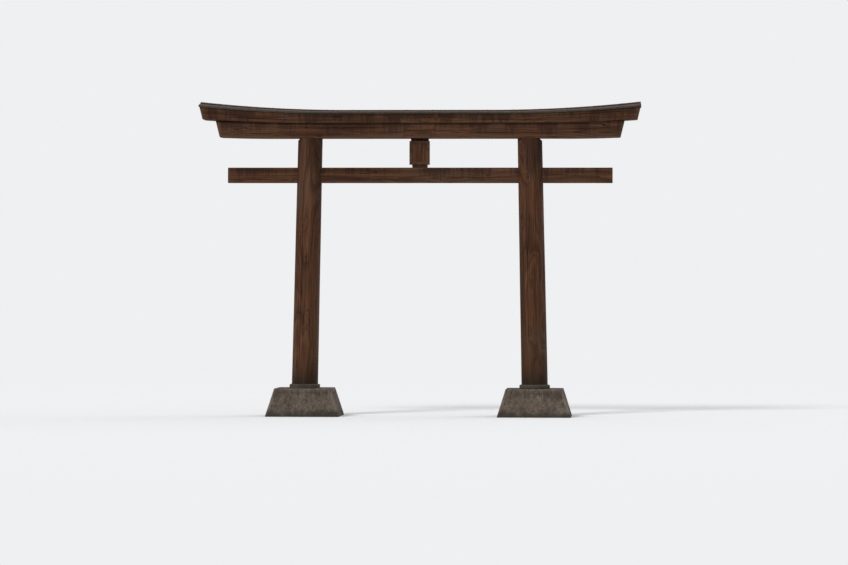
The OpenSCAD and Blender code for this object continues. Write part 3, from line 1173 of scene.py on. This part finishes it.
@dataclass
class Lintel(Part):
    """One length of a lintel, halved to the other at the middle. Its subclasses hold its sizes."""

    side: Side
    checks: Sequence[Check]
    swept_end: float = 0.11

    def build(self) -> None:
        """Builds the length, straight at first and then swept."""
        timber = SquaredTimber(
            (self.scarf / 2, -self.half_depth, 0), (self.foot_half, self.half_depth, self.height),
            seed=self.seed + self.side.value, checks=self.checks,
            tongue=self.scarf, tongue_above=self.side is Side.LEFT,
        )
        bm = timber.mesh()
        move_points(bm, lambda p: self.swept(p, p.z / self.height, self.near_end(p.x)))
        node = f"{self.stem}_{self.side.word}"
        settle(f"{node}_timber", bm, self.finish, node, self.side)

    def near_end(self, x: float) -> float:
        """How near a place is to the leaning end face, from 0 to 1."""
        return max(0.0, (x - self.foot_half + self.swept_end) / self.swept_end)


@dataclass
class LowerLintel(Lintel):
    """One length of the lower lintel."""

    stem: str = "lower_lintel"
    seed: float = 5.0
    foot_half: float = 3.401
    half_depth: float = 0.180
    scarf: float = 0.520

    @property
    def height(self) -> float:
        """Its height at the middle."""
        return self.shape.seat - self.shape.under

    def swept(self, point: Vector, share: float, near_end: float) -> Vector:
        """A point of the straight timber on the swept one."""
        x = point.x + (self.shape.low_top_half - self.foot_half) * share * near_end
        return Vector((x, point.y, self.shape.under_at(x) * (1 - share) + self.shape.seat_at(x) * share))


@dataclass
class TopLintel(Lintel):
    """One length of the top lintel, which widens towards the cap."""

    stem: str = "top_lintel"
    seed: float = 9.0
    half_depth: float = 0.225
    eave_half_depth: float = 0.258
    scarf: float = 0.640
    end_slope: float = 1.09 * math.tan(math.radians(17))

    @property
    def height(self) -> float:
        """Its height at the middle, up to the cap's boards."""
        return self.shape.eave - self.shape.cap_thickness - self.shape.seat

    @property
    def foot_half(self) -> float:
        """Its half-length along the underside."""
        return self.shape.top_eave_half - self.height * self.end_slope

    def swept(self, point: Vector, share: float, near_end: float) -> Vector:
        """A point of the straight timber on the swept one, bedded under the cap's slopes.

        Args:
            point: The point.
            share: Its height as a share of the timber's.
            near_end: How near it is to the leaning end face.

        Returns:
            Its place on the finished lintel.
        """
        shape = self.shape
        y = point.y * (1 - share + self.eave_half_depth / self.half_depth * share)
        hip = shape.cap_hip * (1 - abs(y) / shape.cap_half_depth) * share
        x = point.x + ((shape.top_eave_half - self.foot_half) * share - hip) * near_end
        top = shape.roof_at(x, y) - shape.cap_thickness - shape.bed_gap
        return Vector((x, y, (shape.seat_at(x) + shape.bed_gap) * (1 - share) + top * share))


@dataclass
class CopperCap(Part):
    """Copper sheets over the cap boards, with locked seams, hems, nails and a ridge strip."""

    sheet_pitch: float = 0.455
    last_sheet: float = 0.12
    seam_half: float = 0.008
    seam_rise: float = 0.0035
    seam_reach: float = 0.035
    edge_round: float = 0.007
    edge_step: float = 0.003
    edge_reach: float = 0.05
    hem: float = 0.009
    hem_out: float = 0.0025
    swept_end: float = 0.30
    ridge_half: float = 0.062
    ridge_thickness: float = 0.013
    ridge_arris: float = 0.0045
    ridge_edge: float = 0.006
    ridge_sink: float = 0.002
    ridge_seam_half: float = 0.011
    ridge_seam_flat: float = 0.009
    ridge_seam_rise: float = 0.0022
    ridge_seam_reach: float = 0.03
    crown: float = 0.0015
    crown_half: float = 0.014
    pitch: float = 0.06
    nail_pitch: float = 0.114
    nail_radius: float = 0.0055
    nail_inset: float = 0.06
    nail_drop: float = 0.0125

    def build(self) -> None:
        """Builds the four slopes, both ridge strips and the nails."""
        for side in Side:
            for face in Face:
                self.slope(side, face)
            self.ridge(side)
        self.nails()

    @cached_property
    def seams(self) -> list[float]:
        """Distances of the seams from the middle."""
        end = self.shape.cap_eave_half - self.last_sheet
        return [self.sheet_pitch * (i + 0.5) for i in range(math.ceil(end / self.sheet_pitch - 0.5))]

    def seam_gap(self, x: float) -> float:
        """Distance of a place from the nearest seam."""
        return min(abs(x - seam) for seam in self.seams)

    def slope(self, side: Side, face: Face) -> None:
        """Builds one sheeted slope in place of one cap board.

        Args:
            side: The side that it is on.
            face: Front or back.
        """
        half, deep, thick = self.shape.cap_eave_half, self.shape.cap_half_depth, self.shape.cap_thickness
        bm = add_box(bmesh.new(), (0, -deep, -thick), (half, 0, 0))
        slice_at(bm, 0, spread(0, half, self.pitch))
        slice_at(bm, 1, spread(-deep, 0, self.pitch * 0.75))
        for seam in self.seams:
            slice_at(bm, 0, [seam + s * self.seam_half * k for s in (-1, 1) for k in (0.72, 1.0)])
        slice_at(bm, 2, [-thick + self.hem * k for k in (0.33, 0.7, 1.0)])
        slice_at(bm, 2, [-self.edge_round, -self.edge_step])
        slice_at(bm, 1, [-deep + self.edge_step, -deep + self.edge_round])
        mark(bm, "worn", self.sheet_wear)
        move_points(bm, self.sheeted)
        if face is Face.BACK:
            mirror(bm, 1)
        node = f"cap_{face.word}_{side.word}"
        settle(f"{node}_sheet", bm, self.finish, node, side, smooth_below=35)

    def in_hem(self, point: Vector) -> bool:
        """Whether a point of the flat sheet is in the folded hem along the lower edge."""
        return point.z < -self.shape.cap_thickness + self.hem + TINY

    def sheet_wear(self, point: Vector) -> float:
        """How worn the flat sheet is: along its seams, its edge and its hem."""
        edge = 1 - (point.y + self.shape.cap_half_depth) / self.edge_reach
        return max(edge, 0.8 * (1 - self.seam_gap(point.x) / self.seam_reach), 0.9 * self.in_hem(point))

    def rounded(self, y: float, h: float) -> tuple[float, float]:
        """Rounds the sheet over the board's upper edge.

        Args:
            y: The place from front to back.
            h: Its height over the board.

        Returns:
            Both, pulled onto the round edge.
        """
        deep, corner = self.shape.cap_half_depth, self.edge_round
        reach = Vector((corner - (y + deep), corner + h))
        if min(reach) <= 0 or reach.length < 1e-9:
            return y, h
        reach *= max(reach) / reach.length
        return corner - reach.x - deep, reach.y - corner

    def sheeted(self, point: Vector) -> Vector:
        """Where a point of the flat board goes on the finished slope.

        Args:
            point: The point, with z = 0 on the board's upper face.

        Returns:
            The new place.
        """
        deep, thick = self.shape.cap_half_depth, self.shape.cap_thickness
        y, h = self.rounded(point.y, point.z)
        lift = self.seam_rise if self.seam_gap(point.x) < self.seam_half * 0.8 else 0.0
        if point.z > -TINY:
            h += lift
        if point.y < -deep + TINY:
            y -= lift * 0.5
            if self.in_hem(point):
                y -= self.hem_out * math.sin(math.pi * (point.z + thick) / self.hem)
        near_end = max(0.0, (point.x - self.shape.cap_eave_half + self.swept_end) / self.swept_end)
        x = point.x - self.shape.cap_hip * (1 - min(1.0, abs(y) / deep)) * near_end
        return Vector((x, y, self.shape.roof_at(x, max(-deep, y)) + h))

    def ridge(self, side: Side) -> None:
        """Builds one half of the folded strip over the ridge.

        Args:
            side: The side that it is on.
        """
        half = self.shape.cap_eave_half - self.shape.cap_hip
        wide = self.ridge_half
        bm = add_box(bmesh.new(), (0, -wide, 0), (half, wide, self.ridge_thickness))
        slice_at(bm, 1, [0.0, -wide * 0.5, wide * 0.5, -0.012, 0.012])
        soften(bm, self.ridge_arris, 3, 60)
        slice_at(bm, 0, spread(0, half, self.pitch))
        for seam in self.seams:
            slice_at(bm, 0, [seam + s * self.ridge_seam_half * k for s in (-1, 1) for k in (0.8, 1.0)])
        mark(bm, "worn", self.strip_wear)
        move_points(bm, lambda p: self.folded(p, p.x < half - self.swept_end))
        node = f"ridge_{side.word}"
        settle(f"{node}_strip", bm, self.finish, node, side, smooth_below=35)

    def strip_wear(self, point: Vector) -> float:
        """How worn the straight ridge strip is: along its seams and its edges."""
        on_edge = abs(point.y) > self.ridge_half - self.ridge_edge
        return max(1 - self.seam_gap(point.x) / self.ridge_seam_reach, 0.75 * on_edge)

    def folded(self, point: Vector, has_seams: bool) -> Vector:
        """Where a point of the straight ridge strip goes.

        Args:
            point: The point.
            has_seams: Whether seams stand up there.

        Returns:
            The new place over the ridge.
        """
        upper = point.z > self.ridge_thickness * 0.5
        crown = max(0.0, 1 - (point.y / self.crown_half) ** 2) * self.crown
        height = point.z + self.shape.bed_gap + crown
        if upper:
            height -= self.ridge_sink
            if has_seams and self.seam_gap(point.x) < self.ridge_seam_flat:
                height += self.ridge_seam_rise
        return Vector((point.x, point.y, self.shape.roof_at(point.x, point.y) + height))

    def nails(self) -> None:
        """Builds the rows of nail heads along both edges of the cap."""
        bm = bmesh.new()
        reach = self.shape.cap_eave_half - self.nail_inset
        count = int(2 * reach / self.nail_pitch)
        for face in Face:
            for i in range(count + 1):
                x = -reach + 2 * reach * i / count
                z = self.shape.eave_at(x) - self.nail_drop
                place = (x, face.value * self.shape.cap_half_depth, z)
                nail_head(bm, place, self.nail_radius, 0.5, (10, 6))
        mark(bm, "worn", lambda _: 0.4)
        settle("cap_nails", bm, self.finish)


@dataclass
class Strut(Part):
    """The board between the tie beam and the lintel, wider at its top."""

    top_half: float = 0.151
    foot_half: float = 0.128
    half_depth: float = 0.073

    def build(self) -> None:
        """Builds the strut."""
        low = (-self.top_half, -self.half_depth, self.shape.tie_high)
        high = (self.top_half, self.half_depth, self.shape.under)
        height = high[2] - low[2]
        narrowing = 1 - self.foot_half / self.top_half
        bm = SquaredTimber((*low[:2], 0), (*high[:2], height), pitch=0.03, seed=13.0).mesh()
        move_points(bm, lambda p: Vector((p.x * (1 - narrowing * (1 - p.z / height)), p.y, low[2] + p.z)))
        settle("strut_timber", bm, self.finish, "strut")


@dataclass
class Tablet:
    """The plain framed tablet with its bent irons."""

    timber: Material
    panel: Material
    iron: Material
    lip: float = 0.024
    iron_thickness: float = 0.006
    iron_arris: float = 0.0016
    nail_radius: float = 0.005
    nail_drop: float = 0.011
    boards: int = 3
    groove_half: float = 0.0035
    groove_depth: float = 0.005
    panel_arris: float = 0.0015
    frame_arris: float = 0.005
    frame_reach: float = 0.010
    pitch: float = 0.03
    wear: float = 0.0008

    def build(self) -> None:
        """Builds the panel, the four frame members and the irons."""
        self.boarded_panel()
        for seed, name in enumerate(("head", "sill", "left_stile", "right_stile")):
            node = f"tablet_{name}"
            member = SquaredTimber(
                *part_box(node), arris=self.frame_arris, pitch=self.pitch, wear=self.wear,
                seed=23.0 + seed, edge_reach=self.frame_reach,
            )
            settle(f"{node}_member", member.mesh(), self.timber, node)
        for side in Side:
            self.bent_iron(f"tablet_{side.word}_hook", False)
            self.bent_iron(f"tablet_{side.word}_lug", True)

    def boarded_panel(self) -> None:
        """Builds the panel, with grooves where its boards meet."""
        low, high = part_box("tablet_panel")
        bm = SquaredTimber(low, high, self.panel_arris, self.pitch, self.wear, seed=21.0).mesh()
        for joint in spread(low.x, high.x, (high.x - low.x) / self.boards * 1.01):
            slice_at(bm, 0, [joint - self.groove_half, joint, joint + self.groove_half])
            for vert in bm.verts:
                if abs(vert.co.x - joint) < NEAR and vert.co.y < (low.y + high.y) / 2:
                    vert.co.y += self.groove_depth
        settle("tablet_boards", bm, self.panel, "tablet_panel")

    def bent_iron(self, node: str, upside_down: bool) -> None:
        """Builds one bent iron with two nail heads.

        Args:
            node: The solid that it stands for.
            upside_down: Whether it holds the tablet from below.
        """
        low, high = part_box(node)
        wide, deep, tall = high - low
        thick, lip = self.iron_thickness, self.lip
        outline = [
            (0, lip), (0, tall), (-thick, tall), (-thick, lip + thick), (-deep, lip + thick),
            (-deep, 0), (-deep + thick, 0), (-deep + thick, lip),
        ]
        bm = bmesh.new()
        face = bm.faces.new([bm.verts.new((low.x, high.y + y, z)) for y, z in outline])
        drawn = bmesh.ops.extrude_face_region(bm, geom=[face])["geom"]
        moved = [g for g in drawn if isinstance(g, bmesh.types.BMVert)]
        bmesh.ops.translate(bm, vec=(wide, 0, 0), verts=moved)
        bmesh.ops.recalc_face_normals(bm, faces=bm.faces)
        soften(bm, self.iron_arris)
        mark(bm, "worn", lambda _: 0.5)
        for share in (0.28, 0.72):
            place = (low.x + wide * share, high.y - thick, tall - self.nail_drop)
            nail_head(bm, place, self.nail_radius, 0.55, (12, 8))
        if upside_down:
            mirror(bm, 2)
        bmesh.ops.translate(bm, vec=(0, 0, high.z if upside_down else low.z), verts=bm.verts)
        settle(f"{node}_iron", bm, self.iron, node)


@dataclass
class DrawPegs(Part):
    """Square pegs that pin the halved joints of both lintels, eight on each face."""

    half: float = 0.017
    length: float = 0.032
    arris: float = 0.003
    low_reach: float = 0.13
    low_face: float = 0.180
    top_reach: float = 0.17
    top_face: float = 0.238

    def build(self) -> None:
        """Builds the pegs as one piece, with their heads where the timbers' faces are."""
        under, seat, eave = self.shape.under, self.shape.seat, self.shape.eave
        lintels = (
            (under, seat, self.low_reach, self.low_face),
            (seat, eave, self.top_reach, self.top_face),
        )
        corner = Vector((self.half, self.length / 2, self.half))
        bm = bmesh.new()
        for low, high, reach, face_y in lintels:
            quarter = (high - low) / 4
            for face, x, z in product(Face, (-reach, reach), (low + quarter, high - quarter)):
                middle = Vector((x, face.value * (face_y - self.length / 2), z))
                add_box(bm, middle - corner, middle + corner)
        soften(bm, self.arris, 2)
        mark(bm, "worn", lambda _: 0.2)
        settle("draw_pegs", bm, self.finish)


@dataclass
class Studio:
    """The floor, soft light, pale surroundings and the camera at the photo's angle."""

    distance: float = 62.0
    eye_height: float = 2.07
    turn: float = math.radians(3.24)
    aim: tuple[float, float, float] = (0.0722, 0.0, 2.2696)
    pixels_per_radian: float = 58.873 * 62.0
    roll: float = math.radians(0.10)
    surround: Colour = (0.86, 0.87, 0.88)
    floor_tone: Colour = (0.791, 0.8025, 0.810)
    floor_half: float = 140.0
    floor_fade: tuple[float, float] = (7.0, 26.0)
    ambient: float = 0.55

    def build(self) -> None:
        """Builds everything that isn't part of the gate."""
        self.world()
        self.floor()
        self.lamp("key", (-0.42, -0.70, 0.62), strength=2.1, width=16)
        self.lamp("fill", (0.80, 0.35, 0.50), strength=0.90, width=50)
        self.camera()
        bpy.context.scene.view_settings.view_transform = "Standard"

    def camera(self) -> None:
        """Stands the camera where the photo was taken."""
        data = bpy.data.cameras.new("camera")
        data.sensor_fit = "HORIZONTAL"
        data.angle = 2 * math.atan(PHOTO_WIDTH / 2 / self.pixels_per_radian)
        data.clip_end = 1000
        eye = Vector((math.sin(self.turn), -math.cos(self.turn), 0)) * self.distance
        eye.z = self.eye_height
        ahead = (Vector(self.aim) - eye).normalized()
        right = ahead.cross(Vector((0, 0, 1))).normalized()
        rolled = right * math.cos(self.roll) + right.cross(ahead) * math.sin(self.roll)
        camera = stand("camera", data)
        turned = Matrix((rolled, rolled.cross(ahead), -ahead)).transposed()
        camera.matrix_world = Matrix.Translation(eye) @ turned.to_4x4()
        bpy.context.scene.camera = camera

    def lamp(self, name: str, direction: Sequence[float], strength: float, width: float) -> None:
        """Adds a wide, far lamp.

        Args:
            name: The lamp's name.
            direction: Where it stands, seen from the gate.
            strength: Its strength.
            width: How many degrees wide it looks, which softens its shadows.
        """
        data = bpy.data.lights.new(name, "SUN")
        data.energy = strength
        data.angle = math.radians(width)
        lamp = stand(name, data)
        lamp.rotation_mode = "QUATERNION"
        lamp.rotation_quaternion = Vector(direction).to_track_quat("Z", "Y")

    def world(self) -> None:
        """Pale surroundings at strength 1 to the eye and in gloss, and softer light on the gate."""
        r = Recipe(bpy.data.worlds.new("surroundings"))
        rays = r.node("LightPath").outputs
        kinds = "Camera", "Glossy", "Transmission"
        camera, glossy, clear = (Flow(r, rays[f"Is {kind} Ray"]) for kind in kinds)
        seen = r.maths("MAXIMUM", r.maths("MAXIMUM", camera, glossy), clear)
        light = r.flow("Background", {"Color": (1.0, 1.0, 1.0), "Strength": self.ambient})
        shown = r.flow("Background", {"Color": self.surround})
        r.node("OutputWorld", {"Surface": r.flow("MixShader", {0: seen, 1: light, 2: shown})})
        bpy.context.scene.world = r.owner

    def floor(self) -> None:
        """A plain pale floor that fades into the surroundings."""
        r = Recipe(bpy.data.materials.new("floor"))
        plain = r.flow("BsdfDiffuse", {"Color": self.floor_tone})
        glow = r.flow("Emission", {"Color": self.surround})
        fade = r.span(r.length(r.place), *self.floor_fade)
        r.node("OutputMaterial", {"Surface": r.flow("MixShader", {0: fade, 1: plain, 2: glow})})
        bm = bmesh.new()
        bmesh.ops.create_grid(bm, x_segments=1, y_segments=1, size=self.floor_half)
        mesh = bpy.data.meshes.new("floor")
        bm.to_mesh(mesh)
        bm.free()
        mesh.materials.append(r.owner)
        stand("floor", mesh)


# Drying checks by side, of the pillars, the lower lintel and the top lintel
TRUNK_CHECKS = {
    Side.LEFT: (
        TrunkCheck(-1.15, 0.10, 0.83, 0.011, 0.040),
        TrunkCheck(-2.25, 0.34, 0.97, 0.007, 0.024),
        TrunkCheck(-0.35, 0.45, 0.90, 0.006, 0.020),
        TrunkCheck(0.60, 0.05, 0.60, 0.009, 0.030),
        TrunkCheck(1.75, 0.20, 0.92, 0.010, 0.036),
        TrunkCheck(2.75, 0.08, 0.55, 0.007, 0.024),
    ),
    Side.RIGHT: (
        TrunkCheck(-1.95, 0.16, 0.80, 0.010, 0.036),
        TrunkCheck(-1.20, 0.42, 0.96, 0.007, 0.024),
        TrunkCheck(-0.25, 0.08, 0.62, 0.008, 0.026),
        TrunkCheck(0.85, 0.30, 0.93, 0.008, 0.028),
        TrunkCheck(1.90, 0.06, 0.72, 0.010, 0.034),
        TrunkCheck(2.85, 0.40, 0.88, 0.007, 0.022),
    ),
}
LOWER_CHECKS = {
    Side.LEFT: (
        Check(Face.FRONT, 0.176, 0.62, 2.45, 0.009, 0.032),
        Check(Face.FRONT, 0.075, 2.35, 3.30, 0.007, 0.022),
        Check(Face.BACK, 0.150, 0.80, 2.90, 0.009, 0.030),
    ),
    Side.RIGHT: (
        Check(Face.FRONT, 0.090, 0.62, 2.45, 0.009, 0.032),
        Check(Face.FRONT, 0.150, 2.35, 3.30, 0.007, 0.022),
        Check(Face.BACK, 0.110, 0.80, 2.90, 0.009, 0.030),
    ),
}
TOP_CHECKS = {
    Side.LEFT: (
        Check(Face.FRONT, 0.104, 0.75, 2.20, 0.008, 0.028),
        Check(Face.FRONT, 0.050, 2.15, 3.45, 0.008, 0.026),
        Check(Face.BACK, 0.090, 1.10, 3.20, 0.008, 0.028),
    ),
    Side.RIGHT: (
        Check(Face.FRONT, 0.052, 0.75, 2.20, 0.008, 0.028),
        Check(Face.FRONT, 0.112, 2.15, 3.45, 0.008, 0.026),
        Check(Face.BACK, 0.060, 1.10, 3.20, 0.008, 0.028),
    ),
}


def main() -> None:
    """Builds what stands round the gate, and the gate from the ground up."""
    logging.basicConfig(level=logging.INFO, format="%(message)s")
    shape = GateShape.read()
    Studio().build()
    plinth_stone = StoneFinish("plinth_stone").material()
    ring_stone = StoneFinish(
        "ring_stone", body=(0.044, 0.034, 0.027), pale=(0.082, 0.067, 0.053),
        damp_low=0.0, damp_high=0.01, lichen_share=0.2, tooled=0.3,
    ).material()
    for side in Side:
        Plinth(shape, plinth_stone, side).build()
        FootRing(shape, ring_stone, side).build()
        trunk = TimberFinish(
            f"{side.word}_pillar_timber", Grain.UPRIGHT, (side.value * 1.91, 0.03, 0.0),
            11.0 + side.value * 3, damp_from=0.50, damp_to=1.05,
        )
        Pillar(shape, trunk.material(), side, TRUNK_CHECKS[side]).build()
    tie = TimberFinish("tie_beam_timber", pith=(0.0, 0.16, 4.02), seed=3.0)
    TieBeam(shape, tie.material()).build()
    lintels = (LowerLintel, LOWER_CHECKS, 0.05, 4.80, 21.0), (TopLintel, TOP_CHECKS, -0.04, 5.02, 31.0)
    for side in Side:
        for kind, checks, pith_y, pith_z, seed in lintels:
            pith = (0.0, pith_y * side.value, pith_z)
            timber = TimberFinish(f"{kind.stem}_{side.word}_timber", pith=pith, seed=seed + side.value)
            kind(shape, timber.material(), side, checks[side]).build()
    CopperCap(shape, CopperFinish("cap_copper").material()).build()
    strut = TimberFinish(
        "strut_timber", Grain.UPRIGHT, (0.05, 0.10, 0.0), 41.0, relief=0.0018, knotty=0.0,
        body=(0.056, 0.0225, 0.0098), pale=(0.115, 0.052, 0.024),
    )
    Strut(shape, strut.material()).build()
    panel_low, panel_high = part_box("tablet_panel")
    boards = TimberFinish(
        "tablet_board_timber", Grain.UPRIGHT, (0.05, 0.10, 0.0), 53.0, relief=0.0014, knotty=0.0,
        body=(0.054, 0.0225, 0.0100), board_width=(panel_high.x - panel_low.x) / Tablet.boards,
    )
    rails = TimberFinish("tablet_timber", pith=(0.0, 0.2, 4.5), seed=47.0, relief=0.0012, knotty=0.0)
    Tablet(rails.material(), boards.material(), IronFinish("black_iron").material()).build()
    pegs = TimberFinish("peg_timber", body=(0.030, 0.013, 0.0065), relief=0.001)
    DrawPegs(shape, pegs.material()).build()


if __name__ == "__main__":
    main()
